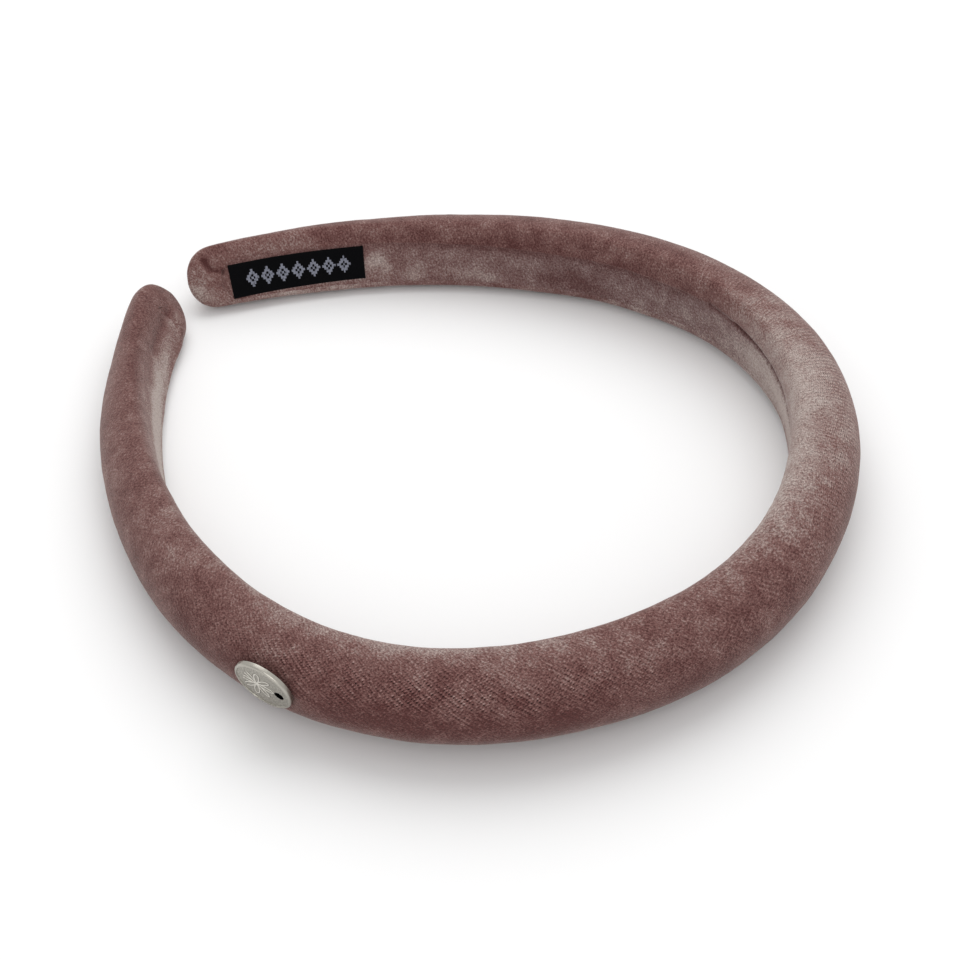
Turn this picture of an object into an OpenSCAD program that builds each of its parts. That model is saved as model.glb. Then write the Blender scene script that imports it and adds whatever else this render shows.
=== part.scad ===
// A padded velvet headband, lying on its side the way it rests on a table.
// The crown is at +X, the open end at -X, and the floor is Z = 0. Sizes are in millimetres.

/* [Band] */
// Length of the band's inner line, from tip to tip
band_len = 380; // [350:5:410]
// Width of the band at the crown, which stands upright while it lies
crown_w = 21; // [20:0.5:26]
// Width of the band at the tips
tip_w = 13; // [12.5:0.5:16]
// Depth of the padding at the crown, from the inner line outwards
crown_t = 15; // [11:0.5:17]
// Depth of the padding at the tips
tip_t = 6.5; // [6:0.5:9]
// Length of the rounded end past the last full section
tip_round = 6; // [4:0.1:8]
// Fullness of the domed section, where 2 is an ellipse and more is squarer
fullness = 2.3; // [2:0.1:3]

/* [Inner lining] */
// Width of the lining strip at the crown
lining_crown_w = 12; // [11:0.5:15.5]
// Width of the lining strip at its ends
lining_tip_w = 7.4; // [7:0.1:8]
// How far the lining runs below the middle of the band
lining_low = 1.4; // [0:0.1:1.4]
// Thickness of the lining strip
lining_t = 1.2; // [1:0.1:2]
// How far the lining ends before the tip's last full section
lining_back = 1.5; // [1:0.5:8]
// How far the rolled edges of the cover stand above the lining beside them
roll_h = 0.5; // [0.3:0.1:1]

/* [Woven label] */
// Length of the label along the band
label_len = 28; // [20:1:40]
// Height of the label across the lining
label_w = 7; // [5:0.5:7]
// Thickness of the label
label_t = 0.5; // [0.3:0.1:0.8]
// Distance from the lining's end to the label
label_from_end = 0.5; // [0.5:0.5:40]

/* [Round tag] */
// Diameter of the metal tag
tag_d = 12; // [8:0.5:14]
// Thickness of the metal tag
tag_t = 1; // [0.6:0.1:2]
// Width of the bevel round the tag's front edge
tag_bevel = 0.4; // [0.1:0.1:0.5]
// Diameter of the tag's hole
tag_hole_d = 1.9; // [1:0.1:2.5]
// Distance of the hole from the tag's centre
tag_hole_out = 3.5; // [2:0.1:3.5]
// Distance of the tag from the crown, along the inner line
tag_along = 83; // [20:0.5:120]
// How far below the middle of the band the tag bears on the dome, which makes it look down a little
tag_low = 3; // [0.5:0.5:4.5]
// How far the tag's centre is above the place where it bears
tag_rise = 3.7; // [0:0.1:4]
// How far the tag is pressed into the padding
tag_press = 0.8; // [0.4:0.1:1.5]

/* [Hidden] */
$fn = 72;

velvet = [0.47, 0.35, 0.34];
velvet_light = [0.52, 0.41, 0.40];
label_black = [0.03, 0.03, 0.04];
tag_silver = [0.72, 0.71, 0.68];
piece_gap = 0.2;

// The half outline from the crown to a tip, as arcs: [degrees turned, radius as a share of the crown arc's]
arcs = [
    [31.0, 1.00],
    [63.5, 0.72],
    [20.0, 1.02],
    [33.2, 1.77],
];
// The band from the crown (0) to a tip (1). The shares run from the tip's size (0) to the crown's (1).
// [place, width share, depth share, lining's width share, degrees that the inner face leans up]
taper = [
    [0.00, 1.00, 1.00, 1.00, 21],
    [0.25, 0.60, 0.77, 0.45, -3],
    [0.50, 0.49, 0.59, 0.05, -3],
    [0.75, 0.24, 0.55, 0.00, 9],
    [1.00, 0.00, 0.00, 0.00, 33],
];
taper_soften = 0.06;
// The rounded end: [share of tip_round past the last full section, share of the section's size]
end_round = [
    [0.30, 0.95],
    [0.56, 0.83],
    [0.78, 0.63],
    [0.93, 0.37],
    [1.00, 0.12],
];
// The dome comes over the end and closes this far out from the inner face, as a share of the depth
end_middle = 0.12;
section_count = 84;
label_sections = 8;

// The section's outline: where its widest line lies, and the angles of its points
widest_share = 0.19;
dome_angles = [0, 12, 26, 40, 54, 68, 80, 90];
roll_angles = [30, 60, 90];
roll_land = 0.8;
seam_gap = 0.25;
lining_edge = 0.3;
tag_turn = 12;
hole_past = 1;

half_len = band_len / 2;
lining_half = half_len - lining_back;
seat_u = roll_h + lining_t + piece_gap;
recess_end = lining_half + piece_gap;
recess_fade = 0.6;
inner_stations = [for (i = [1:section_count - 1]) (i * 2 / section_count - 1) * lining_half];

// Where the arcs begin, worked out from their degrees and shares
function arc_span(i) = arcs[i][0] * PI / 180 * arcs[i][1];
function spans_to(i) = i == 0 ? 0 : arc_span(i - 1) + spans_to(i - 1);
crown_r = half_len / spans_to(len(arcs));
function arc_r(i) = arcs[i][1] * crown_r;
function arc_start(i) = i == 0 ? [0, 0, 90] :
    let (p = arc_start(i - 1), r = arc_r(i - 1), h = p[2], g = h + arcs[i - 1][0])
    [p[0] + r * (sin(g) - sin(h)), p[1] + r * (cos(h) - cos(g)), g];
starts = [for (i = [0:len(arcs) - 1]) arc_start(i)];
function arc_of(d, i = 0) =
    i == len(arcs) - 1 || d < spans_to(i + 1) * crown_r ? i : arc_of(d, i + 1);

// [x, y, outward x, outward y] of the inner line at a distance along it from the crown.
// Along is + on the label's side and - on the tag's.
function line_at(along) =
    let (
        d = min(abs(along), half_len),
        past = abs(along) - d,
        i = arc_of(d),
        r = arc_r(i),
        h = starts[i][2],
        g = h + (d - spans_to(i) * crown_r) / r * 180 / PI,
        side = along < 0 ? -1 : 1
    )
    [
        starts[i][0] + r * (sin(g) - sin(h)) + past * cos(g),
        side * (starts[i][1] + r * (cos(h) - cos(g)) + past * sin(g)),
        sin(g),
        side * -cos(g),
    ];

// The taper's columns between its rows, with the corners of the line softened
function column_at(place, column) = lookup(abs(place), [for (row = taper) [row[0], row[column]]]);
function soft(along, column) =
    let (place = min(1, abs(along) / half_len), slip = min(taper_soften, 1 - place))
    (column_at(place - slip, column) + column_at(place, column) + column_at(place + slip, column)) / 3;
function width_at(along) = tip_w + (crown_w - tip_w) * soft(along, 1);
function depth_at(along) = tip_t + (crown_t - tip_t) * soft(along, 2);
function lining_w_at(along) = lining_tip_w + (lining_crown_w - lining_tip_w) * soft(along, 3);
function lean_at(along) = soft(along, 4);

// A point of the flat-laid band: u is outwards from the inner line, v is up from its middle
function at(along, u, v) =
    let (
        p = line_at(along),
        lean = lean_at(along),
        out = u * cos(lean) + v * sin(lean)
    )
    [p[0] + p[2] * out, p[1] + p[3] * out, v * cos(lean) - u * sin(lean)];

// Half of the cover's section, from the middle of its dome over the rolled edge to the recess.
// Up is 1 for the upper half and -1 for the lower, and v grows away from the middle in both.
// Recess is 1 where the lining lies in the cover, and 0 past its ends.
function half_section(along, recess, up) =
    let (
        w = width_at(along) / 2,
        t = depth_at(along),
        u0 = widest_share * t,
        wall = lining_w_at(along) / 2 + piece_gap - up * lining_low,
        lip = wall + roll_land
    )
    [
        for (a = dome_angles) [u0 + (t - u0) * pow(cos(a), 2 / fullness), w * pow(sin(a), 2 / fullness)],
        for (b = roll_angles) [u0 * (1 - sin(b)), lip + (w - lip) * cos(b)],
        [recess * roll_h, wall + seam_gap],
        [recess * seat_u, wall],
    ];
function section(along, recess) =
    let (upper = half_section(along, recess, 1), lower = half_section(along, recess, -1))
    [
        for (p = upper) p,
        [recess * seat_u, -lining_low],
        for (i = [len(lower) - 1:-1:1]) [lower[i][0], -lower[i][1]],
    ];
function cover_ring(along, recess, size) =
    let (mid = end_middle * depth_at(along))
    [for (p = section(along, recess)) at(along, mid + (p[0] - mid) * size, p[1] * size)];

// One end of the cover, from the lining's end out to the tip: [along, recess, size]
cover_end = [
    [recess_end, 1, 1],
    [recess_end + recess_fade, 0, 1],
    [half_len, 0, 1],
    for (row = end_round) [half_len + row[0] * tip_round, 0, row[1]],
];
cover_stations = [
    for (i = [len(cover_end) - 1:-1:0]) [-cover_end[i][0], cover_end[i][1], cover_end[i][2]],
    for (along = inner_stations) [along, 1, 1],
    for (row = cover_end) row,
];

// The tag's place on the dome, and the way it faces there
tag_w = width_at(tag_along) / 2;
tag_u0 = widest_share * depth_at(tag_along);
tag_dome = depth_at(tag_along) - tag_u0;
tag_angle = asin(pow(tag_low / tag_w, fullness / 2));
tag_u = tag_u0 + tag_dome * pow(cos(tag_angle), 2 / fullness);
tag_point = at(-tag_along, tag_u, -tag_low);
tag_lean_out = pow((tag_u - tag_u0) / tag_dome, fullness - 1) / tag_dome;
tag_lean_down = pow(tag_low / tag_w, fullness - 1) / tag_w;
tag_step = at(-tag_along, tag_u + tag_lean_out, -tag_low - tag_lean_down) - tag_point;
tag_normal = tag_step / norm(tag_step);
tag_seat = tag_point - tag_press * tag_normal;
tag_azimuth = atan2(tag_normal[1], tag_normal[0]);
tag_fall = acos(tag_normal[2]);
tag_up = [-cos(tag_fall) * cos(tag_azimuth), -cos(tag_fall) * sin(tag_azimuth), sin(tag_fall)];
tag_centre = tag_seat + piece_gap * tag_normal + tag_rise * tag_up;
tag_front = tag_centre + tag_t * tag_normal;
tag_front_r = tag_d / 2 - tag_bevel;

// The padding gives way under the tag
function pressed(p) = p - max(0, (p - tag_seat) * tag_normal) * tag_normal;

// The way it lies: turned until the crown and both tips touch the floor, then centred over the origin
cover_rings = [for (s = cover_stations) [for (p = cover_ring(s[0], s[1], s[2])) pressed(p)]];
crown_ring = cover_ring(0, 1, 1);
tip_ring = cover_ring(half_len, 0, 1);
function low(ring) = min([for (p = ring) p[2]]);
reach = crown_ring[0][0] - tip_ring[0][0];
tilt = atan2(low(tip_ring) - low(crown_ring), reach);
function tilted(p) = [p[0] * cos(tilt) - p[2] * sin(tilt), p[1], p[0] * sin(tilt) + p[2] * cos(tilt)];
laid = [for (ring = cover_rings) for (p = ring) tilted(p)];
laid_x = [for (p = laid) p[0]];
laid_z = [for (p = laid) p[2]];
far_side = max([for (p = laid) p[1]]);
tag_side = tag_front[1] - tag_front_r * sqrt(1 - pow(tag_normal[1], 2));
shift = [-(min(laid_x) + max(laid_x)) / 2, -(min(tag_side, -far_side) + far_side) / 2, -min(laid_z)];
module rest() {
    translate(shift) rotate([0, -tilt, 0]) children();
}

// A closed skin over rings of equally many points, with its ends fanned to their middles
module skin(rings) {
    n = len(rings[0]);
    last = len(rings) - 1;
    middle_of = function(ring) [for (k = [0:2]) [for (p = ring) p[k]] * [for (p = ring) 1] / n];
    points = [for (ring = rings) each ring, middle_of(rings[0]), middle_of(rings[last])];
    faces = [
        for (i = [0:last - 1]) for (j = [0:n - 1])
            let (a = i * n + j, b = i * n + (j + 1) % n)
            each [[a, b, b + n], [a, b + n, a + n]],
        for (j = [0:n - 1]) [(last + 1) * n, (j + 1) % n, j],
        for (j = [0:n - 1]) [(last + 1) * n + 1, last * n + j, last * n + (j + 1) % n],
    ];
    polyhedron(points, faces);
}

// Foam and stiff core under velvet, with rolled edges round the lining's recess
module padded_cover() {
    color(velvet) rest() skin(cover_rings);
}

// The velvet strip that closes the inside of the band
lining_stations = [-lining_half, each inner_stations, lining_half];
function lining_ring(along) =
    let (w = lining_w_at(along) / 2, front = roll_h, back = roll_h + lining_t)
    [
        for (p = [
            [back, 0], [back, w],
            [front + lining_edge, w], [front, w - lining_edge], [front, 0], [front, lining_edge - w],
            [front + lining_edge, -w], [back, -w],
        ]) at(along, p[0], p[1] - lining_low)
    ];
module inner_lining() {
    color(velvet_light) rest()
        skin([for (along = lining_stations) lining_ring(along)]);
}

// The woven label, sewn on the lining near the tip of one arm
label_far = lining_half - label_from_end;
label_back = roll_h - piece_gap;
function label_ring(along) =
    [
        for (p = [[label_back, -1], [label_back, 1], [label_back - label_t, 1], [label_back - label_t, -1]])
            at(along, p[0], p[1] * label_w / 2 - lining_low)
    ];
module woven_label() {
    color(label_black) rest()
        skin([for (i = [0:label_sections]) label_ring(label_far - label_len * (1 - i / label_sections))]);
}

// The round metal tag on the outside of the other arm, turned so that its hole is towards the crown
module tag_blank() {
    r = tag_d / 2;
    rotate_extrude()
        polygon([[0, 0], [r, 0], [r, tag_t - tag_bevel], [r - tag_bevel, tag_t], [0, tag_t]]);
}
module round_tag() {
    color(tag_silver) rest()
        translate(tag_centre) rotate([0, tag_fall, tag_azimuth])
        difference() {
            tag_blank();
            rotate(90 - tag_turn) translate([tag_hole_out, 0, -hole_past])
                cylinder(d = tag_hole_d, h = tag_t + 2 * hole_past);
        }
}

padded_cover();
inner_lining();
woven_label();
round_tag();
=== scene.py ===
import math

import bpy
import numpy as np
from mathutils import Matrix, Vector, noise


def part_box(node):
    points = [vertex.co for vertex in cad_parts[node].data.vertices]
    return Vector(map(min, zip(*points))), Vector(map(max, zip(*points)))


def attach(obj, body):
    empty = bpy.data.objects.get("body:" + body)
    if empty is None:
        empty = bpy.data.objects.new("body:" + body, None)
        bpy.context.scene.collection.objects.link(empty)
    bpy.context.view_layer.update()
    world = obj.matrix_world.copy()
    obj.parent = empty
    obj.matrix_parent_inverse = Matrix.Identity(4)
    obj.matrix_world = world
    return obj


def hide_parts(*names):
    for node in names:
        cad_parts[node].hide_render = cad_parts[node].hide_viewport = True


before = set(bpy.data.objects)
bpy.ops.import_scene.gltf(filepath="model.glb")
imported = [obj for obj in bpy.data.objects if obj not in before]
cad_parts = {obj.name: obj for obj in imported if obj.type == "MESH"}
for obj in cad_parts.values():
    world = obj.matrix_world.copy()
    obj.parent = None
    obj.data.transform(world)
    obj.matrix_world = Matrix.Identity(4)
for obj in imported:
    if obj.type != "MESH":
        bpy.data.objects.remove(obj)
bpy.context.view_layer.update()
print("frame loaded:", sorted(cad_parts))

mm = 0.001  # dictionaries hold millimetres, finished meshes hold metres

# The band's inner line and sections, the same as the solids have
band = {
    "length": 380, "crownWidth": 21, "tipWidth": 13, "crownDepth": 15, "tipDepth": 6.5,
    "tipRound": 6, "tipFullness": 2.05, "endMiddle": 0.12, "fullness": 2.3, "widestShare": 0.19,
    "liningCrown": 12, "liningTip": 7.4, "liningLow": 1.4, "liningThick": 1.2, "liningBack": 1.5,
    "rollHeight": 0.5, "rollLand": 0.8, "gap": 0.2, "soften": 0.06,
    # degrees turned and radius share, from the crown to a tip
    "arcs": [(31, 1.00), (63.5, 0.72), (20, 1.02), (33.2, 1.77)],
    # place from the crown to a tip, shares of width, depth and lining width, degrees of lean
    "taper": [(0, 1, 1, 1, 21), (0.25, 0.60, 0.77, 0.45, -3), (0.50, 0.49, 0.59, 0.05, -3),
              (0.75, 0.24, 0.55, 0, 9), (1, 0, 0, 0, 33)],
}
halfLength = band["length"] / 2
liningHalf = halfLength - band["liningBack"]
taperRows = np.array(band["taper"], float)
turns = np.radians([turn for turn, share in band["arcs"]])
radii = np.array([share for turn, share in band["arcs"]])
radii = radii * halfLength / (turns * radii).sum()
arcEnds = np.concatenate([[0], np.cumsum(turns * radii)])
headings = math.pi / 2 + np.concatenate([[0], np.cumsum(turns)])
arcStarts = [np.zeros(2)]
for radius, into, outOf in zip(radii, headings[:-1], headings[1:]):
    step = np.array([math.sin(outOf) - math.sin(into), math.cos(into) - math.cos(outOf)])
    arcStarts.append(arcStarts[-1] + radius * step)
arcStarts = np.array(arcStarts)


def lineAt(along):  # x, y and outward direction of the inner line
    d = np.minimum(np.abs(along), halfLength)
    past = np.abs(along) - d
    arc = np.clip(np.searchsorted(arcEnds, d, side="right") - 1, 0, len(radii) - 1)
    into = headings[arc]
    heading = into + (d - arcEnds[arc]) / radii[arc]
    side = np.where(np.asarray(along) < 0, -1, 1)
    x = arcStarts[arc, 0] + radii[arc] * (np.sin(heading) - np.sin(into)) + past * np.cos(heading)
    y = arcStarts[arc, 1] + radii[arc] * (np.cos(into) - np.cos(heading)) + past * np.sin(heading)
    return x, side * y, np.sin(heading), -side * np.cos(heading)


def taperAt(along, column):
    place = np.minimum(1, np.abs(along) / halfLength)
    slip = np.minimum(band["soften"], 1 - place)
    shares = [np.interp(np.abs(p), taperRows[:, 0], taperRows[:, column])
              for p in (place - slip, place, place + slip)]
    return sum(shares) / 3


def widthAt(along):
    return band["tipWidth"] + (band["crownWidth"] - band["tipWidth"]) * taperAt(along, 1)


def depthAt(along):
    return band["tipDepth"] + (band["crownDepth"] - band["tipDepth"]) * taperAt(along, 2)


def liningAt(along):
    return band["liningTip"] + (band["liningCrown"] - band["liningTip"]) * taperAt(along, 3)


def layFlat(along, u, v):  # u is outwards from the inner line, v is up from its middle
    x, y, outX, outY = lineAt(along)
    lean = np.radians(taperAt(along, 4))
    out = u * np.cos(lean) + v * np.sin(lean)
    return np.stack([x + outX * out, y + outY * out, v * np.cos(lean) - u * np.sin(lean)], -1)


def domeAt(along, angle):  # the dome from its middle (0) to its widest line (90 degrees)
    depth, power = depthAt(along), 2 / band["fullness"]
    start = band["widestShare"] * depth
    across, up = abs(math.cos(math.radians(angle))), math.sin(math.radians(angle))
    return start + (depth - start) * across ** power, widthAt(along) / 2 * up ** power


# It rests on its crown and both tips, turned and placed as the solids are
domeSteps = range(0, 91, 3)
alongSteps = np.linspace(-halfLength, halfLength, 761)
dome = np.array([layFlat(alongSteps, *(domeAt(alongSteps, a) * np.array([[1], [side]])))
                 for a in domeSteps for side in (1, -1)])
crownLow, tipLow = dome[:, len(alongSteps) // 2, 2].min(), dome[:, -1, 2].min()
reach = dome[0, len(alongSteps) // 2, 0] - dome[0, -1, 0]
tilt = math.atan2(tipLow - crownLow, reach)
turned = np.array([[math.cos(tilt), 0, -math.sin(tilt)], [0, 1, 0], [math.sin(tilt), 0, math.cos(tilt)]])
dome = (dome @ turned.T).reshape(-1, 3)
solidLow, solidHigh = (np.array(corner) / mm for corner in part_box("padded_cover"))
shift = np.array([solidHigh[0] - dome[:, 0].max(), solidHigh[1] - dome[:, 1].max(),
                  solidLow[2] - dome[:, 2].min()])


def lay(along, u, v):  # a point of the band where it rests, in metres
    return (layFlat(along, u, v) @ turned.T + shift) * mm


# Helpers for meshes

def select(obj):
    if bpy.context.object and bpy.context.object.mode != "OBJECT":
        bpy.ops.object.mode_set(mode="OBJECT")
    bpy.ops.object.select_all(action="DESELECT")
    obj.select_set(True)
    bpy.context.view_layer.objects.active = obj


def named(name):  # the primitive just added gets its name
    obj = bpy.context.object
    obj.name = obj.data.name = name
    return obj


def editMode(obj, mode="FACE"):
    select(obj)
    bpy.ops.object.mode_set(mode="EDIT")
    bpy.ops.mesh.select_mode(type=mode)
    bpy.ops.mesh.select_all(action="DESELECT")


def objectMode():
    bpy.ops.object.mode_set(mode="OBJECT")


def choose(obj, kind, test):  # selects the edges, faces or vertices that pass the test
    objectMode()
    for part in getattr(obj.data, kind):
        part.select = bool(test(part))
    bpy.ops.object.mode_set(mode="EDIT")


def apply(obj, kind, **settings):
    select(obj)
    modifier = obj.modifiers.new(kind.title(), kind)
    for key, value in settings.items():
        setattr(modifier, key, value)
    bpy.ops.object.modifier_apply(modifier=modifier.name)


def coordsOf(obj):
    co = np.empty(len(obj.data.vertices) * 3, np.float32)
    obj.data.vertices.foreach_get("co", co)
    return co.reshape(-1, 3).astype(float)


def setCoords(obj, co):
    obj.data.vertices.foreach_set("co", np.asarray(co, np.float32).ravel())
    obj.data.update()


def normalsOf(obj):
    normals = np.empty(len(obj.data.vertices) * 3, np.float32)
    obj.data.vertex_normals.foreach_get("vector", normals)
    return normals.reshape(-1, 3).astype(float)


def waves(points, size, seed):  # smooth noise from -1 to 1, with waves of about that size
    offset = Vector((seed * 17.3, seed * 5.1, seed * 29.7))
    return np.array([noise.noise(Vector(p) / (size * mm) + offset) for p in points])


def addValue(obj, name, values):  # one number for each vertex, for the materials
    layer = obj.data.attributes.new(name, "FLOAT", "POINT")
    layer.data.foreach_set("value", np.asarray(values, np.float32))


def addUv(obj, name, places):  # a UV map from one place for each vertex, in metres
    corners = np.empty(len(obj.data.loops), int)
    obj.data.loops.foreach_get("vertex_index", corners)
    layer = obj.data.uv_layers.new(name=name)
    layer.data.foreach_set("uv", places[corners].astype(np.float32).ravel())


def valueOf(obj, name):
    values = np.empty(len(obj.data.vertices), np.float32)
    obj.data.attributes[name].data.foreach_get("value", values)
    return values.astype(float)


def smoothStep(x, low, high):
    t = np.clip((x - low) / (high - low), 0, 1)
    return t * t * (3 - 2 * t)


# The padded cover: a velvet sleeve over foam, its long edges rolled in round the lining
cover = {
    "columns": 40, "cuts": (10, 15),  # cells round the band, and cells along it as two passes
    "domeAngles": range(0, 91, 9), "rollAngles": (18, 36, 54, 72, 90),
    # where the rolled edges turn in to the recess, as depth and distance past its wall
    "turnIn": [(0.03, 0.40), (0.20, 0.12), (0.80, 0.02), (1.90, 0)],
    "plainStep": 0.35, "tipAngles": (15, 30, 45, 60, 72, 82), "endCrowd": 0.09,
    "poleRim": 0.7, "polePast": -9,  # what the closing points of the tips count as
    "recessFade": (-0.4, 0.9),  # the recess runs out over this stretch past the lining's ends
    "insideFade": (0.2, 0.5),  # share of the depth where the inside's folds fade out
    "slack": 0.05, "looseFade": (-2.5, -0.5),  # the cloth is free up to here before the roll's crest
    # size of the waves and their height
    "foam": (15, 0.20), "cloth": (5, 0.06), "nap": (1.3, 0.03), "puckers": (2.2, 0.10),
    "puckerStretch": 0.25, "puckerReach": 3, "puckerFade": (0.6, 1.6), "puckersLow": 0.4, "edgesApart": 40,
    # folds and creases of the inside, as two places (along, up from the middle), then depth and width
    "folds": [((192.3, 3.7), (191.3, 1.4), 0.65, 0.65), ((191.3, 1.4), (188.9, 0.7), 0.5, 0.6),
              ((-190.5, -0.1), (-186.4, 0.4), 0.25, 1.2), ((-186.4, 0.4), (-177, 0.5), 0.3, 1.3),
              ((-177, 0.5), (-168, 0.7), 0.12, 1.3),
              ((84, 3.0), (77, 2.5), 0.3, 0.6), ((77, 2.5), (67, 2.1), 0.8, 0.5),
              ((67, 2.1), (57, 1.7), 0.9, 0.5), ((57, 1.7), (50, 0.8), 0.7, 0.5),
              ((50, 0.8), (45, -0.3), 0.4, 0.5)],
    # painted shade: how much the folds darken the pile
    "foldShade": 0.8,
    # places that are fuller: along, share of the way to the rolled edge, reach both ways, how much
    "fuller": [(-90, 0.85, 28, 0.35, 0.35), (-108, 0.9, 28, 0.35, 0.7)],
    "fullerBoth": [(-191, 1.2, 9, 0.8, 0.85), (196, 1, 4, 3, 0.45)],  # the same on both edges
    "tagFade": (0.1, 2.2),  # how far past the tag's rim the cloth is pressed
    # places of the pile that are paler or darker, greyer, coarser or show their rows, as for the fuller
    # places; the pale places are brushed pile with painted sheen, the dark ones painted shade
    "paintedLightAndBrushAll": 0.27,
    "paintedLightAndBrush": [(48, 0.75, 34, 0.55, 0.5), (15, 0.85, 20, 0.22, 0.3), (-68, 0.88, 48, 0.25, 0.5),
              (-22, 0.5, 16, 0.25, 0.12), (-2, 0.5, 13, 0.25, -0.12), (-60, -0.05, 70, 0.3, -0.25),
              (-155, 1.15, 22, 0.15, 0.4), (172, 1, 20, 0.25, 0.1), (172, -1.05, 20, 0.2, 0.45),
              (195, 0, 5, 3, 0.3), (110, 1.02, 40, 0.12, -0.15), (20, 0.1, 20, 0.25, -0.1),
              (55, -1.08, 34, 0.2, 0.4), (100, -1.08, 30, 0.2, 0.2), (-150, -1.08, 30, 0.2, 0.6)],
    "grey": [(95, -1.1, 65, 0.12, 1)],
    "grainAll": 0.65, "grain": [(-20, 0, 95, 1, 0.45)],
    "showsAll": 0.1,
    "shows": [(-56, 0.28, 37, 0.25, 0.85), (48, 0.25, 32, 0.35, 0.9), (-197, 0, 4, 3, -0.1),
              (197, 0, 4, 3, -0.1)],
    "tipFade": (0.5, 3.5),  # past the band's ends the weave's grain gives way to plain speckle
}
lining = {
    "cells": (188, 16), "endLength": 4, "endShare": 0.5, "past": 1, "thick": 0.5, "endCrowd": 0.2,
    # its edges run on over the rolls, a little further by its ends, and dip in
    "level": 0.03, "reach": 0.45, "endReach": 0.25, "endReachFade": (6, 2),
    "dip": 0.08, "dipFrom": 0.9, "endDip": 0.45, "endDipLength": 1.1,
    "valley": 0.04, "valleyIn": (0.3, 0.8), "valleyOut": (0.8, 0.95),
    "roundTo": 15,  # about the way round the cover to the roll
    "nap": (1.3, 0.03), "puckers": (2.2, 0.05), "puckersFrom": (0.5, 0.9),
    # the same kinds of places: along, up from the middle, reach both ways, how much; the pale ones hold
    # brushed pile with painted sheen, the dark ones painted shade
    "paintedLightAndBrushAll": 0.3,
    "paintedLightAndBrush": [(56, -2, 24, 6, 0.68), (95, 3, 30, 2.5, -0.12), (-158, -3.2, 24, 2.7, 0.95),
              (-120, -2, 26, 6, 0.4), (130, -1.5, 36, 4, 0.1), (176, -4.2, 14, 1.2, 0.4),
              (117, -3, 8, 2.5, -0.35), (157, -1, 2, 2, 0.5), (130, 2.6, 40, 0.9, -0.2),
              (140, -4, 20, 2, 0.1)],
    "grey": [(95, 0, 65, 15, 1)],
    "showsAll": 0.08, "shows": [],
}
seatDepth = band["rollHeight"] + band["liningThick"] + band["gap"]


def recessAt(along):  # 1 where the lining lies in the cover, 0 past its ends
    before, after = cover["recessFade"]
    return 1 - smoothStep(np.abs(along), liningHalf + before, liningHalf + after)


def foamWaves(points):  # the padding's own unevenness, the same under the cover and the lining
    (foamSize, foamHeight), (clothSize, clothHeight) = cover["foam"], cover["cloth"]
    return waves(points, foamSize, 1) * foamHeight + waves(points, clothSize, 2) * clothHeight


def foldDepth(along, up):
    places, depths = np.stack([along, up], -1), []
    for start, end, depth, width in cover["folds"]:
        depths.append(depth * np.exp(-(fromLine(places, start, end) / width) ** 2))
    return np.max(depths, axis=0)


def liningEnd(along):  # the lining narrows to a rounded end
    left = np.clip((liningHalf - np.abs(along)) / lining["endLength"], 0, 1)
    return lining["endShare"] + (1 - lining["endShare"]) * np.sqrt(1 - (1 - left) ** 2)


def halfSection(along, up):  # u and v from the dome's middle over the roll to the recess's middle
    w, depth = widthAt(along) / 2, depthAt(along)
    start, recess = band["widestShare"] * depth, recessAt(along)
    wall = liningAt(along) / 2 * liningEnd(along) + band["gap"] - up * band["liningLow"]
    lip = wall + band["rollLand"]
    points = [domeAt(along, angle) for angle in cover["domeAngles"]]
    for angle in np.radians(cover["rollAngles"]):
        points.append((start * (1 - math.sin(angle)), lip + (w - lip) * math.cos(angle)))
    # past the lining's ends the inner face is plain
    for step, (deep, past) in enumerate(cover["turnIn"], 1):
        points.append((recess * deep, wall + recess * past - (1 - recess) * step * cover["plainStep"]))
    points.append((recess * seatDepth, 0 * wall - up * band["liningLow"]))
    return np.array(points)


def makeSleeve(name):
    bpy.ops.mesh.primitive_cylinder_add(vertices=cover["columns"], radius=1, depth=2,
                                        end_fill_type="TRIFAN", calc_uvs=False)
    sleeve = named(name)
    for cells in cover["cuts"]:
        height = coordsOf(sleeve)[:, 2]
        editMode(sleeve, "EDGE")
        choose(sleeve, "edges", lambda edge: np.ptp(height[list(edge.vertices)]) > 0.01)
        bpy.ops.mesh.subdivide(number_cuts=cells - 1)
        objectMode()
    return sleeve


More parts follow.
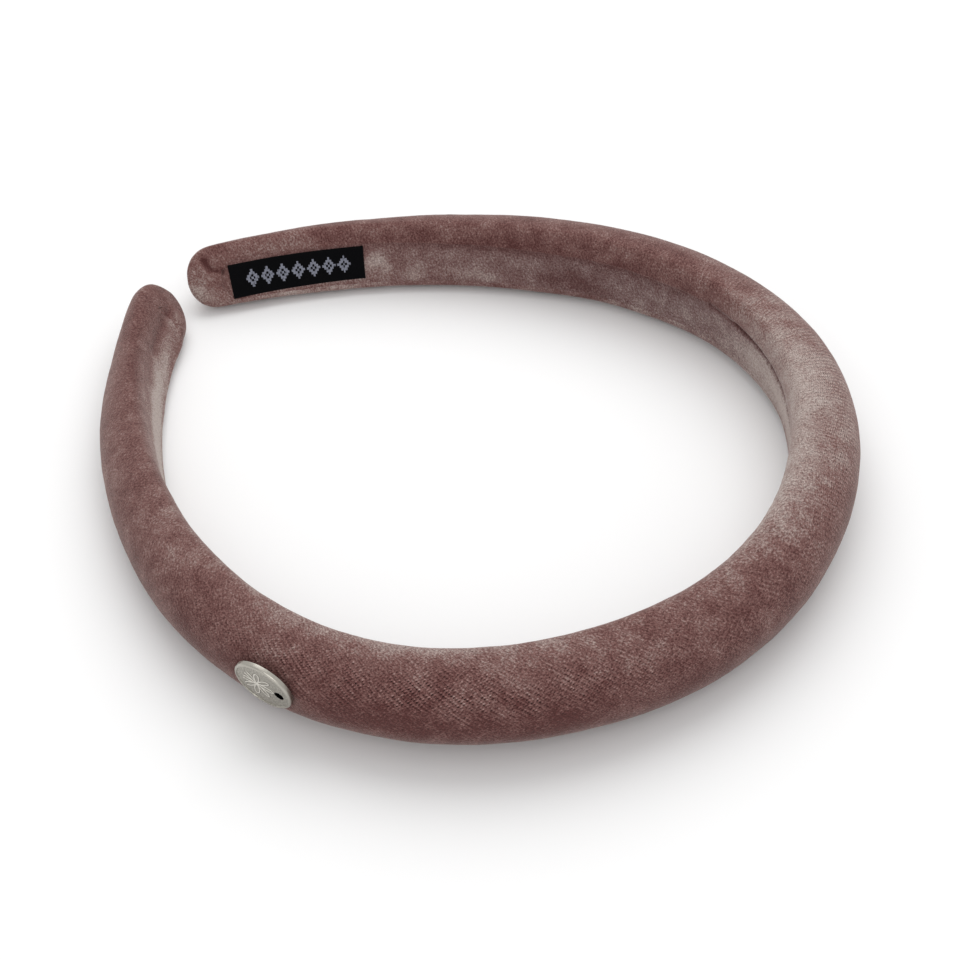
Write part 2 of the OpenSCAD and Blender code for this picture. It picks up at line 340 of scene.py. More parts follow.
def shapeSleeve(sleeve):  # each ring of the cylinder becomes a section of the band
    power = 2 / band["tipFullness"]
    tips = np.radians(cover["tipAngles"])
    ends = halfLength + band["tipRound"] * np.sin(tips) ** power
    rings = cover["cuts"][0] * cover["cuts"][1] + 1
    middle = np.linspace(-1, 1, rings - 2 * len(tips))
    middle = halfLength * middle * (1 + cover["endCrowd"] * (1 - middle ** 8))  # closer at the tips
    places = np.concatenate([-ends[::-1], middle, ends])
    sizes = np.concatenate([np.cos(tips[::-1]) ** power, np.ones(len(middle)), np.cos(tips) ** power])
    halves = np.stack([halfSection(places, 1), halfSection(places, -1)])
    steps = np.hypot(*np.moveaxis(np.diff(halves, axis=1), 2, 0))
    around = np.concatenate([np.zeros_like(steps[:, :1]), np.cumsum(steps, axis=1)], axis=1)
    count, back = cover["columns"], cover["columns"] // 2
    co = coordsOf(sleeve)
    pole = np.hypot(co[:, 0], co[:, 1]) < 0.5
    ring = np.rint((co[:, 2] + 1) / 2 * (rings - 1)).astype(int)
    column = np.rint(np.arctan2(co[:, 1], co[:, 0]) / math.tau * count).astype(int) % count
    lower = (column > back).astype(int)
    side = 1 - 2 * lower
    step = np.where(lower, count - column, column)
    u, v = halves[lower, step, 0, ring], side * halves[lower, step, 1, ring]
    size = np.where(pole, 0, sizes[ring])
    along = np.where(pole, np.sign(places[ring]) * (halfLength + band["tipRound"]), places[ring])
    core = band["endMiddle"] * depthAt(along)
    setCoords(sleeve, lay(along, core + (u - core) * size, v * size))
    editMode(sleeve)
    bpy.ops.mesh.select_all(action="SELECT")
    bpy.ops.mesh.flip_normals()
    objectMode()
    crest = len(cover["domeAngles"]) + len(cover["rollAngles"]) - 1
    here, atCrest = around[lower, step, ring], around[lower, crest, ring]
    addValue(sleeve, "along", along)
    addValue(sleeve, "around", np.where(pole, 0, side * here))
    addValue(sleeve, "pastRoll", np.where(pole, cover["polePast"], here - atCrest))
    addValue(sleeve, "rim", np.where(pole, cover["poleRim"], here / atCrest))
    addValue(sleeve, "backColumn", (column == back) & ~pole)
    addValue(sleeve, "up", v * size)
    addValue(sleeve, "inside", 1 - smoothStep(u / depthAt(along), *cover["insideFade"]))


# Weave: rows of pile tufts, turned against the band by this many degrees at places along it
weave = {
    "turn": [(-196, 60), (-130, 58), (-100, 42), (-70, 38), (-35, 45), (0, 54), (25, 84), (45, 80),
             (75, 73), (196, 73)],
    "reach": 200, "steps": 2001, "soften": 50,  # steps along the band, and how many soften each turn
    "row": 0.88, "tuft": 0.46, "stagger": 0.25,
    "gapRange": (0.9, 2.8), "tipRange": (1.2, 2.8),
    # unevenness of the rows: size and detail of a noise, its range, and the strength that this gives
    "uneven": [(5, 3, 0.36, 0.56, 0.45, 1.15), (0.8, 2, 0.36, 0.62, 0.35, 1.4)],
}
grainAt = np.linspace(-weave["reach"], weave["reach"], weave["steps"])
grainTurn = np.radians(np.interp(grainAt, *zip(*weave["turn"])))
window = 2 * weave["soften"] + 1
grainTurn = np.convolve(np.pad(grainTurn, weave["soften"], "edge"), np.ones(window) / window, "valid")
grainStep = grainAt[1] - grainAt[0]
grainAlong = np.cumsum(np.cos(grainTurn)) * grainStep
grainAcross = np.cumsum(np.sin(grainTurn)) * grainStep


def weaveUv(obj):  # the cloth's own grain as a UV map, in metres along and across the rows of tufts
    along, around, back = valueOf(obj, "along"), valueOf(obj, "around"), valueOf(obj, "backColumn")
    layer = obj.data.uv_layers.new(name="weave")
    for face in obj.data.polygons:
        corners = list(face.vertices)
        s, w = along[corners], around[corners].copy()
        seam = back[corners] > 0.5
        if seam.any() and not seam.all():
            w[seam] = np.abs(w[seam]) * np.sign(w[~seam].mean())
        turn = np.interp(s, grainAt, grainTurn)
        rows = np.interp(s, grainAt, grainAlong) - w * np.sin(turn)
        across = np.interp(s, grainAt, grainAcross) + w * np.cos(turn)
        for loop, x, y in zip(face.loop_indices, rows * mm, across * mm):
            layer.data[loop].uv = (x, y)


# The filling: cloth under pressure, run on a larger copy, where the solver is steady
filling = {
    "enlarge": 10, "pressure": 20, "frames": 20, "quality": 6, "mass": 0.2, "air": 2,
    "stretch": 80, "shear": 40, "bend": 5, "damping": 20,
    "swell": 0.5,  # the furthest that a point may move
}


def inflate(obj, loose):
    start = coordsOf(obj)
    select(obj)
    bpy.ops.object.duplicate()
    cloth = bpy.context.object
    setCoords(cloth, start * filling["enlarge"])
    held = cloth.vertex_groups.new(name="held")
    for index, free in enumerate(loose):
        held.add([index], float(1 - free), "REPLACE")
    modifier = cloth.modifiers.new("Cloth", "CLOTH")
    settings = modifier.settings
    settings.quality, settings.mass = filling["quality"], filling["mass"]
    settings.air_damping = filling["air"]
    settings.tension_stiffness = settings.compression_stiffness = filling["stretch"]
    settings.shear_stiffness, settings.bending_stiffness = filling["shear"], filling["bend"]
    settings.tension_damping = settings.compression_damping = settings.shear_damping = filling["damping"]
    settings.vertex_group_mass = "held"
    settings.use_pressure, settings.uniform_pressure_force = True, filling["pressure"]
    settings.effector_weights.gravity = 0
    modifier.collision_settings.use_collision = False
    modifier.point_cache.frame_start, modifier.point_cache.frame_end = 1, filling["frames"]
    for number in range(1, filling["frames"] + 1):
        bpy.context.scene.frame_set(number)
    bpy.ops.object.modifier_apply(modifier=modifier.name)
    move = coordsOf(cloth) / filling["enlarge"] - start
    bpy.context.scene.frame_set(1)
    bpy.data.objects.remove(cloth)
    far = np.linalg.norm(move, axis=1)
    limit = filling["swell"] * mm
    print("cloth moved", (np.percentile(far, [50, 95, 100]) / mm).round(2), "mm")
    setCoords(obj, start + move * np.minimum(1, limit / np.maximum(far, 1e-9))[:, None])


# The tag's place on the dome of the near arm, and the way it faces there
tag = {
    "across": 12, "thick": 1, "bevel": 0.4, "holeAcross": 1.9, "holeOut": 3.5,
    "along": 83, "low": 3, "rise": 3.7, "press": 0.8, "turn": 12,
}


def tagPlace():
    along = np.array(float(tag["along"]))
    half, depth, n = widthAt(along) / 2, depthAt(along), band["fullness"]
    start = band["widestShare"] * depth
    share = (1 - (tag["low"] / half) ** n) ** (1 / n)
    point = np.array([start + (depth - start) * share, -tag["low"]])
    slope = np.array([share ** (n - 1) / (depth - start), -(tag["low"] / half) ** (n - 1) / half])
    on, off = (lay(-along, *p) / mm for p in (point, point + slope))
    normal = (off - on) / np.linalg.norm(off - on)
    flatUp = turned @ np.array([0, 0, 1])
    up = flatUp - normal * (flatUp @ normal)
    up /= np.linalg.norm(up)
    seat = on - tag["press"] * normal
    return seat, seat + band["gap"] * normal + tag["rise"] * up, normal, up


tagSeat, tagCentre, tagNormal, tagUp = tagPlace()


def pressTag(co):  # the padding gives way under the tag and swells round its rim
    p = co / mm - tagSeat
    out = np.maximum(0, p @ tagNormal)
    fromAxis = (co / mm - tagCentre) - ((co / mm - tagCentre) @ tagNormal)[:, None] * tagNormal
    away = np.linalg.norm(fromAxis, axis=1) - tag["across"] / 2
    share = 1 - smoothStep(away, *cover["tagFade"])
    return co - (out * share)[:, None] * tagNormal * mm


def fromLine(points, start, end):  # distance from a short line
    a, b = np.array(start), np.array(end)
    t = np.clip(((points - a) @ (b - a)) / ((b - a) @ (b - a)), 0, 1)
    return np.linalg.norm(points - a - t[:, None] * (b - a), axis=1)


def amountAt(along, across, places):  # soft round patches, added up
    amount = np.zeros(len(along))
    for s, t, reachAlong, reachAcross, much in places:
        amount += much * np.exp(-((along - s) / reachAlong) ** 2 - ((across - t) / reachAcross) ** 2)
    return amount


def paint(obj, along, across, look, folds):  # where the pile is pale with brushing and painted sheen, dark with painted shade, grey or coarse, and its rows show
    # painted shade darkens the pile along the folds
    paintedLightAndBrush = look["paintedLightAndBrushAll"] + amountAt(along, across, look["paintedLightAndBrush"]) - cover["foldShade"] * folds
    addValue(obj, "paintedLightAndBrush", paintedLightAndBrush)
    addValue(obj, "weaveShow", look["showsAll"] + amountAt(along, across, look["shows"]))
    addValue(obj, "grey", amountAt(along, across, look["grey"]))
    addValue(obj, "grain", cover["grainAll"] + amountAt(along, 0 * along, cover["grain"]))


def dressCover(obj):
    along, around, pastRoll = valueOf(obj, "along"), valueOf(obj, "around"), valueOf(obj, "pastRoll")
    co, normals = coordsOf(obj), normalsOf(obj)
    out = foamWaves(co) + waves(co, cover["nap"][0], 3) * cover["nap"][1]
    # puckers across both rolled edges, each edge with its own
    size, height = cover["puckers"]
    edge = np.sign(around) * cover["edgesApart"]
    strip = np.stack([along, around * cover["puckerStretch"], edge], -1) * mm
    near = smoothStep(pastRoll, -cover["puckerReach"], 0) * (1 - smoothStep(pastRoll, *cover["puckerFade"]))
    out += waves(strip, size, 4) * near * height * np.where(around < 0, cover["puckersLow"], 1)
    folds = foldDepth(along, valueOf(obj, "up")) * valueOf(obj, "inside")
    # 0 in the dome's middle, 1 or -1 where the edges roll over
    rim = np.sign(around) * valueOf(obj, "rim")
    out += amountAt(along, rim, cover["fuller"]) + amountAt(along, np.abs(rim), cover["fullerBoth"]) - folds
    co = pressTag(co + normals * (out * mm)[:, None])
    co[:, 2] = np.maximum(co[:, 2], 0)
    setCoords(obj, co)
    paint(obj, along, rim, cover, folds)
    before, after = cover["tipFade"]
    addValue(obj, "atEnd", smoothStep(np.abs(along), halfLength + before, halfLength + after))


velvetCover = makeSleeve("velvetCover")
shapeSleeve(velvetCover)
weaveUv(velvetCover)
loose = 1 - smoothStep(valueOf(velvetCover, "pastRoll"), *cover["looseFade"])
slack = (loose * cover["slack"] * mm)[:, None]
setCoords(velvetCover, coordsOf(velvetCover) - normalsOf(velvetCover) * slack)
inflate(velvetCover, loose)
apply(velvetCover, "SUBSURF", levels=2, render_levels=2)
dressCover(velvetCover)
bpy.ops.object.shade_smooth()
print("cover made:", len(velvetCover.data.polygons), "faces")


def faceInwards(obj, place):  # a sheet's front looks into the band's hollow
    middle = Vector(lay(*(np.array(float(x)) for x in place)))
    nearest = min(obj.data.polygons, key=lambda face: (face.center - middle).length)
    outward = Vector((*np.ravel(lineAt(np.array(float(place[0])))[2:]), 0))
    if nearest.normal @ outward > 0:
        editMode(obj)
        bpy.ops.mesh.select_all(action="SELECT")
        bpy.ops.mesh.flip_normals()
        objectMode()


# The lining: a velvet strip that closes the inside, domed a little and tucked under the rolls
def makeLining(name):
    bpy.ops.mesh.primitive_grid_add(x_subdivisions=lining["cells"][0], y_subdivisions=lining["cells"][1],
                                    size=2, calc_uvs=False)
    strip = named(name)
    co = coordsOf(strip)
    t, end = np.sin(co[:, 1] * math.pi / 2), liningHalf + lining["past"]
    crowd = lining["endCrowd"]
    along = end * np.sin(co[:, 0] * math.pi / 2) * crowd + end * co[:, 0] * (1 - crowd)
    fadeFrom, fadeTo = lining["endReachFade"]
    nearEnd = smoothStep(np.abs(along), liningHalf - fadeFrom, liningHalf - fadeTo)
    reach = lining["reach"] + lining["endReach"] * nearEnd
    half = liningAt(along) / 2 * liningEnd(along) + band["gap"] + reach
    valleyIn, valleyOut = smoothStep(t, *lining["valleyIn"]), smoothStep(t, *lining["valleyOut"])
    u = lining["level"] + lining["valley"] * valleyIn * (1 - valleyOut)
    u += lining["dip"] * smoothStep(np.abs(t), lining["dipFrom"], 1)
    u += lining["endDip"] * smoothStep(np.abs(along), end - lining["endDipLength"], end)
    setCoords(strip, lay(along, u, t * half - band["liningLow"]))
    addValue(strip, "along", along)
    addValue(strip, "around", -t * half)
    addValue(strip, "up", t * half - band["liningLow"])
    addValue(strip, "backColumn", np.zeros(len(along)))
    weaveUv(strip)
    apply(strip, "SUBSURF", levels=2, render_levels=2)
    faceInwards(strip, (0, 0, -band["liningLow"]))
    co, normals = coordsOf(strip), normalsOf(strip)
    along, around, up = valueOf(strip, "along"), valueOf(strip, "around"), valueOf(strip, "up")
    folds, half = foldDepth(along, up), liningAt(along) / 2
    out = foamWaves(co) + waves(co, lining["nap"][0], 6) * lining["nap"][1] - folds
    # the cover's fuller places carry on from its rolled edges
    fromRoll = 1 + (half + around) / lining["roundTo"]
    fromEither = 1 + (half - np.abs(around)) / lining["roundTo"]
    out += amountAt(along, fromRoll, cover["fuller"]) + amountAt(along, fromEither, cover["fullerBoth"])
    size, height = lining["puckers"]
    edge = smoothStep(np.abs(around) / half, *lining["puckersFrom"])
    grooves = waves(np.stack([along, around * cover["puckerStretch"], 0 * along], -1) * mm, size, 7)
    setCoords(strip, co + normals * ((out + grooves * edge * height) * mm)[:, None])
    paint(strip, along, up, lining, folds)
    return strip


velvetLining = makeLining("velvetLining")
apply(velvetLining, "SOLIDIFY", thickness=lining["thick"] * mm, offset=-1)
bpy.ops.object.shade_smooth()
print("lining made:", len(velvetLining.data.polygons), "faces")


# The woven label, sewn on the lining near the far arm's tip
label = {
    "length": 28, "width": 7, "thick": 0.35, "level": -0.14, "fromEnd": 0.9, "middle": -1.38,
    "turn": -1.6, "cell": 0.1, "wave": (7, 0.05), "curl": 0.12, "curlPowers": (12, 6), "sharp": 50,
    "stitch": (0.40, 0.52), "raise": 0.07, "repeats": 7,  # the chart is woven in a row, again and again
    "chart": ["...#....",
              "..###...",
              ".##.##..",
              "##.#.##.",
              ".##.##..",
              "..###...",
              "...#...."],
}


def makeLabel(name):
    length, width = label["length"], label["width"]
    bpy.ops.mesh.primitive_grid_add(x_subdivisions=round(length / label["cell"]),
                                    y_subdivisions=round(width / label["cell"]), size=1, calc_uvs=False)
    cloth = named(name)
    flat = coordsOf(cloth)[:, :2] * (length, width)
    x, y = flat[:, 0], flat[:, 1]
    chart = np.array([[mark == "#" for mark in row] for row in label["chart"]])
    rows, columns = chart.shape
    stitchX, stitchY = label["stitch"]
    across = np.floor(x / stitchX + columns * label["repeats"] / 2).astype(int)
    down = np.floor(rows / 2 - y / stitchY).astype(int)
    inside = (across >= 0) & (across < columns * label["repeats"]) & (down >= 0) & (down < rows)
    thread = inside & chart[np.clip(down, 0, rows - 1), across % columns]
    turn = math.radians(label["turn"])
    middle = liningHalf - label["fromEnd"] - length / 2
    along = middle + x * math.cos(turn) - y * math.sin(turn)
    upFrom = label["middle"] + x * math.sin(turn) + y * math.cos(turn)
    powerX, powerY = label["curlPowers"]
    corner = (np.abs(x) * 2 / length) ** powerX * (np.abs(y) * 2 / width) ** powerY
    lift = thread * label["raise"] + corner * label["curl"]
    size, height = label["wave"]
    lift += waves(np.c_[flat, 0 * along] * mm, size, 8) * height
    u = label["level"] - lift - foamWaves(lay(along, label["level"], upFrom))
    setCoords(cloth, lay(along, u, upFrom))
    addValue(cloth, "thread", thread)
    addUv(cloth, "weave", flat * mm)
    return cloth


wovenLabel = makeLabel("wovenLabel")
faceInwards(wovenLabel, (liningHalf - label["length"] / 2, 0, -band["liningLow"]))
apply(wovenLabel, "SOLIDIFY", thickness=label["thick"] * mm, offset=-1)
bpy.ops.object.shade_smooth_by_angle(angle=math.radians(label["sharp"]))
print("label made:", len(wovenLabel.data.polygons), "faces")


# The metal tag: a stamped disc with a sunk face, a raised motif and a hole
stamp = {
    "rim": 0.12, "step": 0.12, "sunk": 0.16, "rings": 47, "ring": 0.11, "sides": 160, "holeSides": 48,
    "bevelSteps": 4, "sharp": 25,
    "petals": 8, "petalLength": 3.5, "ridge": 0.17, "ridgeHeight": 0.1, "offCentre": 1.2,
    "eye": 0.45, "flatWithin": 0.4, "reach": 0.7,  # the motif stays within this share of the radius
}


def petalRidge(points):  # height of a stamped rosette
    x, y = points[:, 0] + stamp["offCentre"], points[:, 1]
    r, turn = np.hypot(x, y), np.arctan2(y, x) * stamp["petals"] / 2
    petal = stamp["petalLength"] * np.abs(np.cos(turn))
    steep = stamp["petals"] / 2 * np.sin(turn) * stamp["petalLength"] / np.maximum(r, stamp["flatWithin"])
    off = np.abs(r - petal) / np.sqrt(1 + steep ** 2)
    off = np.minimum(off, np.abs(r - stamp["eye"]))
    return np.exp(-(off / stamp["ridge"]) ** 2) * stamp["ridgeHeight"]


def makeTag(name):
    radius, thick = tag["across"] / 2 * mm, tag["thick"] * mm
    bpy.ops.mesh.primitive_cylinder_add(vertices=stamp["sides"], radius=radius, depth=thick,
                                        location=(0, 0, thick / 2), calc_uvs=False)
    disc = named(name)
    bpy.ops.object.transform_apply(location=True)
    height = coordsOf(disc)[:, 2]
    editMode(disc, "EDGE")
    choose(disc, "edges", lambda e: min(height[list(e.vertices)]) > thick * 0.9)
    bpy.ops.mesh.bevel(offset=tag["bevel"] * mm, segments=stamp["bevelSteps"])
    bpy.ops.mesh.select_mode(type="FACE")
    choose(disc, "polygons", lambda f: f.normal.z > 0.9 and len(f.vertices) > 4)
    bpy.ops.mesh.inset(thickness=stamp["rim"] * mm)
    bpy.ops.mesh.inset(thickness=stamp["step"] * mm)
    bpy.ops.transform.translate(value=(0, 0, -stamp["sunk"] * mm))
    for ring in range(stamp["rings"]):
        bpy.ops.mesh.inset(thickness=stamp["ring"] * mm)
    objectMode()
    bpy.ops.mesh.primitive_cylinder_add(vertices=stamp["holeSides"], radius=tag["holeAcross"] / 2 * mm,
                                        depth=thick * 4, location=(tag["holeOut"] * mm, 0, thick / 2))
    drill = bpy.context.object
    apply(disc, "BOOLEAN", object=drill, operation="DIFFERENCE", solver="EXACT")
    bpy.data.objects.remove(drill)
    co = coordsOf(disc)
    face = co[:, 2] > thick - stamp["sunk"] * mm * 1.1
    face &= np.hypot(co[:, 0], co[:, 1]) < stamp["reach"] * radius
    relief = np.where(face, petalRidge(co[:, :2] / mm), 0)
    co[:, 2] += relief * mm
    setCoords(disc, co)
    addValue(disc, "raised", relief / stamp["ridgeHeight"])
    addUv(disc, "brush", co[:, :2])
    side = np.cross(tagUp, tagNormal)
    turn = math.radians(tag["turn"])
    ahead = side * math.cos(turn) - tagUp * math.sin(turn)
    frameOf = np.stack([ahead, np.cross(tagNormal, ahead), tagNormal])
    setCoords(disc, co @ frameOf + tagCentre * mm)
    return disc


metalTag = makeTag("metalTag")
bpy.ops.object.shade_smooth_by_angle(angle=math.radians(stamp["sharp"]))
print("tag made:", len(metalTag.data.polygons), "faces")


# Materials
def add(tree, kind, inputs=(), **settings):
    node = tree.nodes.new("ShaderNode" + kind)
    for key, value in settings.items():
        setattr(node, key, value)
    for key, value in dict(inputs).items():
        if isinstance(value, bpy.types.NodeSocket):
            tree.links.new(value, node.inputs[key])
        else:
            node.inputs[key].default_value = value
    return node


def painted(tree, name):  # a value stored for each vertex
    return add(tree, "Attribute", attribute_name=name).outputs["Fac"]


def calc(tree, operation, *values):
    return add(tree, "Math", dict(enumerate(values)), operation=operation).outputs[0]


def blend(tree, *parts):  # values added up, each with its share
    total, *others = [calc(tree, "MULTIPLY", value, share) for value, share in parts]
    for part in others:
        total = calc(tree, "ADD", total, part)
    return total


def mix(tree, factor, a, b):
    return add(tree, "Mix", {0: factor, 6: a, 7: b}, data_type="RGBA").outputs[2]


def spread(tree, value, low, high, bottom=0.0, top=1.0):
    return add(tree, "MapRange", {0: value, 1: low, 2: high, 3: bottom, 4: top}).outputs[0]


def grainNoise(tree, vector, size, detail=2.0, roughness=0.5):
    return add(tree, "TexNoise", {"Vector": vector, "Scale": 1 / (size * mm), "Detail": detail,
                                  "Roughness": roughness}).outputs["Fac"]


def colour(red, green, blue):  # a colour as it reads on a screen, from 0 to 255
    return tuple(((c / 255 + 0.055) / 1.055) ** 2.4 for c in (red, green, blue)) + (1,)


def addBump(tree, shader, height, distance, strength):
    bump = add(tree, "Bump", {"Height": height, "Distance": distance * mm, "Strength": strength})
    tree.links.new(bump.outputs[0], shader.inputs["Normal"])


def setSockets(shader, values):  # what is the same all over the surface
    for socket, value in values.items():
        shader.inputs[socket].default_value = value


def newMaterial(name):
    made = bpy.data.materials.new(name)
    made.use_nodes = True
    return made, made.node_tree, made.node_tree.nodes["Principled BSDF"]


velvet = {
    "deep": (83, 50, 48), "mid": (116, 85, 81), "grey": (116, 94, 92), "pale": (165, 152, 146),
    "midAt": 0.4,  # how pale the pile is at its middle colour
    # noises as their size and strength, and the pile's stretch along the grain
    "blotch": (12, 0.10), "patch": (3.5, 0.15), "pile": (0.36, 0.46), "fine": (0.24, 0.44),
    "stretch": 0.75,
    "gap": 0.8, "tip": 0.55,  # the rows of tufts, as dark gaps and pale tips
    # shares of pile, fine pile and weave in how pale, how light and how high the surface is
    "palePile": 0.55, "paleWeave": 0.3, "lightPile": 0.35, "lightFine": 0.8,
    "highWeave": 0.6, "highPile": 0.7, "highFine": 0.4, "bump": (0.12, 0.7),
    "roughness": 0.95, "specular": 0.15, "sheen": 0.4, "sheenRoughness": 0.35, "sheenTint": (232, 220, 214),
}
liningLook = dict(velvet, deep=(86, 57, 55), pale=(168, 155, 149), blotch=(12, 0.07), patch=(3, 0.13))


def speckle(tree, vector, look):  # noise of one size, from minus to plus its strength
    return spread(tree, grainNoise(tree, vector, look[0], 3, 0.65), 0.33, 0.67, -look[1], look[1])


def lattice(tree, rows, tufts):  # peaks where the rows and the tufts meet
    both = calc(tree, "ADD", calc(tree, "COSINE", rows), calc(tree, "COSINE", tufts))
    return calc(tree, "ADD", both, calc(tree, "COSINE", calc(tree, "SUBTRACT", tufts, rows)))


def makeVelvet(name, look):
    made, tree, shader = newMaterial(name)
    place = add(tree, "TexCoord").outputs["Object"]
    cloth = add(tree, "UVMap", uv_map="weave").outputs["UV"]
    split = add(tree, "SeparateXYZ", {0: cloth}).outputs
    rows = calc(tree, "MULTIPLY", split[1], math.tau / (weave["row"] * mm))
    tufts = calc(tree, "ADD", calc(tree, "MULTIPLY", split[0], math.tau / (weave["tuft"] * mm)),
                 calc(tree, "MULTIPLY", rows, weave["stagger"]))
    gaps = spread(tree, lattice(tree, rows, tufts), *weave["gapRange"])
    third = math.tau / 3  # the tips stand between the gaps
    tips = lattice(tree, calc(tree, "SUBTRACT", rows, third), calc(tree, "ADD", tufts, third))
    tips = spread(tree, tips, *weave["tipRange"])
    uneven = painted(tree, "weaveShow")
    for size, detail, *limits in weave["uneven"]:
        worn = spread(tree, grainNoise(tree, place, size, detail, 0.6), *limits)
        uneven = calc(tree, "MULTIPLY", uneven, worn)
    tips, gaps = calc(tree, "MULTIPLY", tips, look["tip"]), calc(tree, "MULTIPLY", gaps, look["gap"])
    woven = calc(tree, "MULTIPLY", calc(tree, "SUBTRACT", tips, gaps), uneven)
    # past the band's ends the grain would meet in a point, so the pile there follows the place alone
    hairs = add(tree, "Mapping", {"Vector": cloth, "Scale": (look["stretch"], 1, 1)}).outputs[0]
    hairs, plain = speckle(tree, hairs, look["pile"]), speckle(tree, place, look["pile"])
    pile = add(tree, "Mix", {0: painted(tree, "atEnd"), 2: hairs, 3: plain}, data_type="FLOAT").outputs[0]
    fine = speckle(tree, place, look["fine"])
    # how pale the pile is: brushed pile with painted sheen, and painted shade in its dark patches and folds
    pale = painted(tree, "paintedLightAndBrush")
    for part in (speckle(tree, place, look["blotch"]), speckle(tree, place, look["patch"]),
                 calc(tree, "MULTIPLY", pile, look["palePile"]),
                 calc(tree, "MULTIPLY", woven, look["paleWeave"])):
        pale = calc(tree, "ADD", pale, part)
    middle = mix(tree, painted(tree, "grey"), colour(*look["mid"]), colour(*look["grey"]))
    base = mix(tree, spread(tree, pale, 0, look["midAt"]), colour(*look["deep"]), middle)
    base = mix(tree, spread(tree, pale, look["midAt"], 1), base, colour(*look["pale"]))
    light = blend(tree, (pile, look["lightPile"]), (fine, look["lightFine"]))
    light = calc(tree, "ADD", calc(tree, "MULTIPLY", light, painted(tree, "grain")), woven)
    light = calc(tree, "ADD", light, 1.0)
    light = add(tree, "CombineXYZ", {0: light, 1: light, 2: light}).outputs[0]
    tinted = add(tree, "VectorMath", {0: base, 1: light}, operation="MULTIPLY").outputs[0]
    tree.links.new(tinted, shader.inputs["Base Color"])
    height = blend(tree, (woven, look["highWeave"]), (pile, look["highPile"]), (fine, look["highFine"]))
    addBump(tree, shader, height, *look["bump"])
    setSockets(shader, {"Roughness": look["roughness"], "Specular IOR Level": look["specular"],
                        "Sheen Weight": look["sheen"], "Sheen Roughness": look["sheenRoughness"],
                        "Sheen Tint": colour(*look["sheenTint"])})
    return made


ribbon = {
    "pick": 0.21, "end": 0.20,  # spacing of the yarns across and along
    "black": [(1, 1, 2), (8, 8, 11)], "pale": [(84, 86, 98), (156, 159, 172)],  # from low yarn, painted darker as shade, to high yarn, painted paler as light
    "threadEdge": (0.3, 0.7), "worn": 0.5, "wornRange": (0.2, 0.5), "bump": (0.05, 0.6),
    "roughness": 0.8, "specular": 0.06,
}


def makeLabelCloth(name):
    made, tree, shader = newMaterial(name)
    cloth = add(tree, "UVMap", uv_map="weave").outputs["UV"]
    split = add(tree, "SeparateXYZ", {0: cloth}).outputs
    thread = spread(tree, painted(tree, "thread"), *ribbon["threadEdge"])
    picks = calc(tree, "SINE", calc(tree, "MULTIPLY", split[1], math.tau / (ribbon["pick"] * mm)))
    ends = calc(tree, "SINE", calc(tree, "MULTIPLY", split[0], math.tau / (ribbon["end"] * mm)))
    worn = spread(tree, grainNoise(tree, cloth, ribbon["worn"], 3, 0.6), *ribbon["wornRange"])
    # the low yarn is painted darker, as painted shade between the high yarns
    black = mix(tree, spread(tree, picks, -1, 1), *(colour(*shade) for shade in ribbon["black"]))
    pale = mix(tree, spread(tree, ends, -1, 1), *(colour(*shade) for shade in ribbon["pale"]))
    base = mix(tree, calc(tree, "MULTIPLY", thread, worn), black, pale)
    tree.links.new(base, shader.inputs["Base Color"])
    addBump(tree, shader, blend(tree, (picks, 0.5), (ends, 0.5)), *ribbon["bump"])
    setSockets(shader, {"Roughness": ribbon["roughness"], "Specular IOR Level": ribbon["specular"]})
    return made


steel = {
    "dull": (136, 132, 123), "face": (190, 186, 176), "worn": (228, 224, 215), "rim": (178, 174, 165),
    # hole: painted shadow on the hole's wall
    "footShadeAndOxide": (104, 100, 92), "hole": (8, 7, 7),
    "spots": 0.35, "spotRange": (0.38, 0.62), "faceTo": (5.4, 5.6),
    "footShadeAndOxideFrom": (0.02, 0.3), "wornFrom": (0.3, 0.75),  # shares of the motif's height: painted shade and oxide at the ridges' foot, then worn tops that are also a painted highlight
    "holeEdge": (0.01, 0.06), "brush": 0.16, "brushStretch": 0.12, "bump": (0.01, 0.5),
    "roughness": (0.3, 0.7, 0.24, 0.42),  # the brushing's range, and the roughness that it gives
}


def makeSteel(name):
    made, tree, shader = newMaterial(name)
    plane = add(tree, "UVMap", uv_map="brush").outputs["UV"]
    stretched = add(tree, "Mapping", {"Vector": plane, "Scale": (steel["brushStretch"], 1, 1)}).outputs[0]
    brush = grainNoise(tree, stretched, steel["brush"], 3, 0.6)
    spots = spread(tree, grainNoise(tree, plane, steel["spots"], 4, 0.7), *steel["spotRange"])
    raised = painted(tree, "raised")
    out = add(tree, "VectorMath", {0: plane}, operation="LENGTH").outputs["Value"]
    rim = spread(tree, out, *(at * mm for at in steel["faceTo"]))
    face = mix(tree, spots, colour(*steel["dull"]), colour(*steel["face"]))
    # painted shade and oxide round the foot of the ridges, then worn pale tops that are also a painted
    # highlight
    face = mix(tree, spread(tree, raised, *steel["footShadeAndOxideFrom"]), face, colour(*steel["footShadeAndOxide"]))
    face = mix(tree, spread(tree, raised, *steel["wornFrom"]), face, colour(*steel["worn"]))
    base = mix(tree, rim, face, colour(*steel["rim"]))
    hole = (tag["holeOut"] * mm, 0, 0)
    fromHole = add(tree, "VectorMath", {0: plane, 1: hole}, operation="DISTANCE").outputs["Value"]
    pastHole = spread(tree, fromHole, *((tag["holeAcross"] / 2 + past) * mm for past in steel["holeEdge"]))
    # the hole's wall is painted near black, a painted shadow
    base = mix(tree, pastHole, colour(*steel["hole"]), base)
    tree.links.new(base, shader.inputs["Base Color"])
    tree.links.new(spread(tree, brush, *steel["roughness"]), shader.inputs["Roughness"])
    addBump(tree, shader, brush, *steel["bump"])
    setSockets(shader, {"Metallic": 1})
    return made


def dress(obj, made, node):
    obj.data.materials.clear()
    obj.data.materials.append(made)
    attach(obj, "root")
    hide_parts(node)


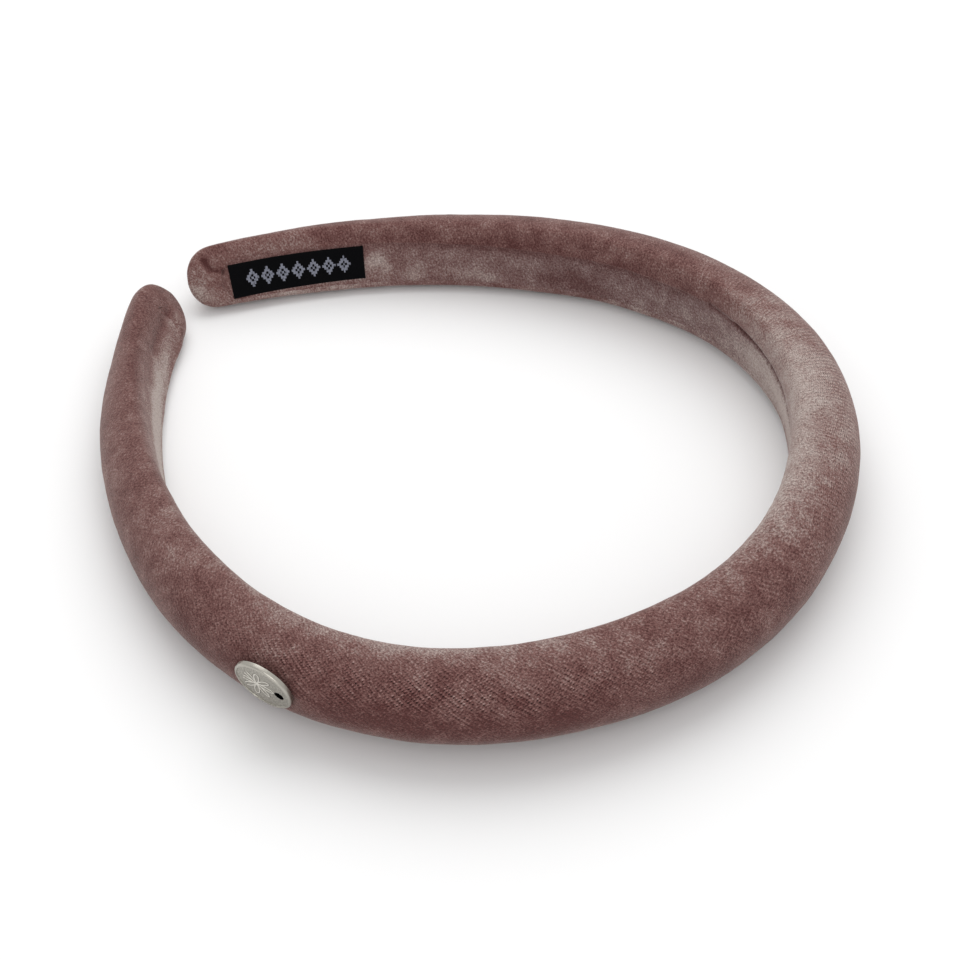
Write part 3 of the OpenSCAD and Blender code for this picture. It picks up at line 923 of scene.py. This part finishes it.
dress(velvetCover, makeVelvet("coverVelvet", velvet), "padded_cover")
dress(velvetLining, makeVelvet("liningVelvet", liningLook), "inner_lining")
dress(wovenLabel, makeLabelCloth("labelWeave"), "woven_label")
dress(metalTag, makeSteel("tagSteel"), "round_tag")
print("materials made")


# Floor, light and camera
studio = {
    "aim": (13.66, -7.35, 12.7), "distance": 579.5, "turn": 40.87, "rise": 42.95, "roll": -0.32,
    "lens": 115.5, "sensor": 36,
    # metres from here on: the floor, then each light's name, place, size and power
    "floor": 4, "paper": (0.86, 0.86, 0.86, 1), "paperRoughness": 0.7, "room": 0.75,
    "lights": [("keyLight", (-0.35, 0.45, 0.8), 1.2, 6), ("fillLight", (0.6, -0.7, 0.7), 1.0, 3)],
}
bpy.ops.mesh.primitive_plane_add(size=studio["floor"], location=(0, 0, 0))
floor = named("floor")
paper, tree, shader = newMaterial("paleFloor")
setSockets(shader, {"Base Color": studio["paper"], "Roughness": studio["paperRoughness"]})
floor.data.materials.append(paper)


for name, place, size, power in studio["lights"]:
    bpy.ops.object.light_add(type="AREA", location=place)
    lamp = bpy.context.object
    lamp.name = name
    lamp.data.shape, lamp.data.size, lamp.data.energy = "DISK", size, power
    lamp.rotation_euler = (-Vector(place)).to_track_quat("-Z", "Y").to_euler()

world = bpy.data.worlds.new("softRoom")
bpy.context.scene.world = world
world.use_nodes = True
setSockets(world.node_tree.nodes["Background"], {"Color": (1, 1, 1, 1), "Strength": studio["room"]})
bpy.context.scene.view_settings.view_transform = "Standard"

turn, rise = math.radians(studio["turn"]), math.radians(studio["rise"])
back = Vector((math.sin(turn) * math.cos(rise), -math.cos(turn) * math.cos(rise), math.sin(rise)))
bpy.ops.object.camera_add(location=(Vector(studio["aim"]) + back * studio["distance"]) * mm)
camera = bpy.context.object
camera.rotation_euler = (Matrix.Rotation(turn, 3, "Z") @ Matrix.Rotation(math.pi / 2 - rise, 3, "X")
                         @ Matrix.Rotation(math.radians(studio["roll"]), 3, "Z")).to_euler()
camera.data.lens, camera.data.sensor_width = studio["lens"], studio["sensor"]
camera.data.clip_start, camera.data.clip_end = 0.01, 20
bpy.context.scene.camera = camera
print("floor, lights and camera placed")
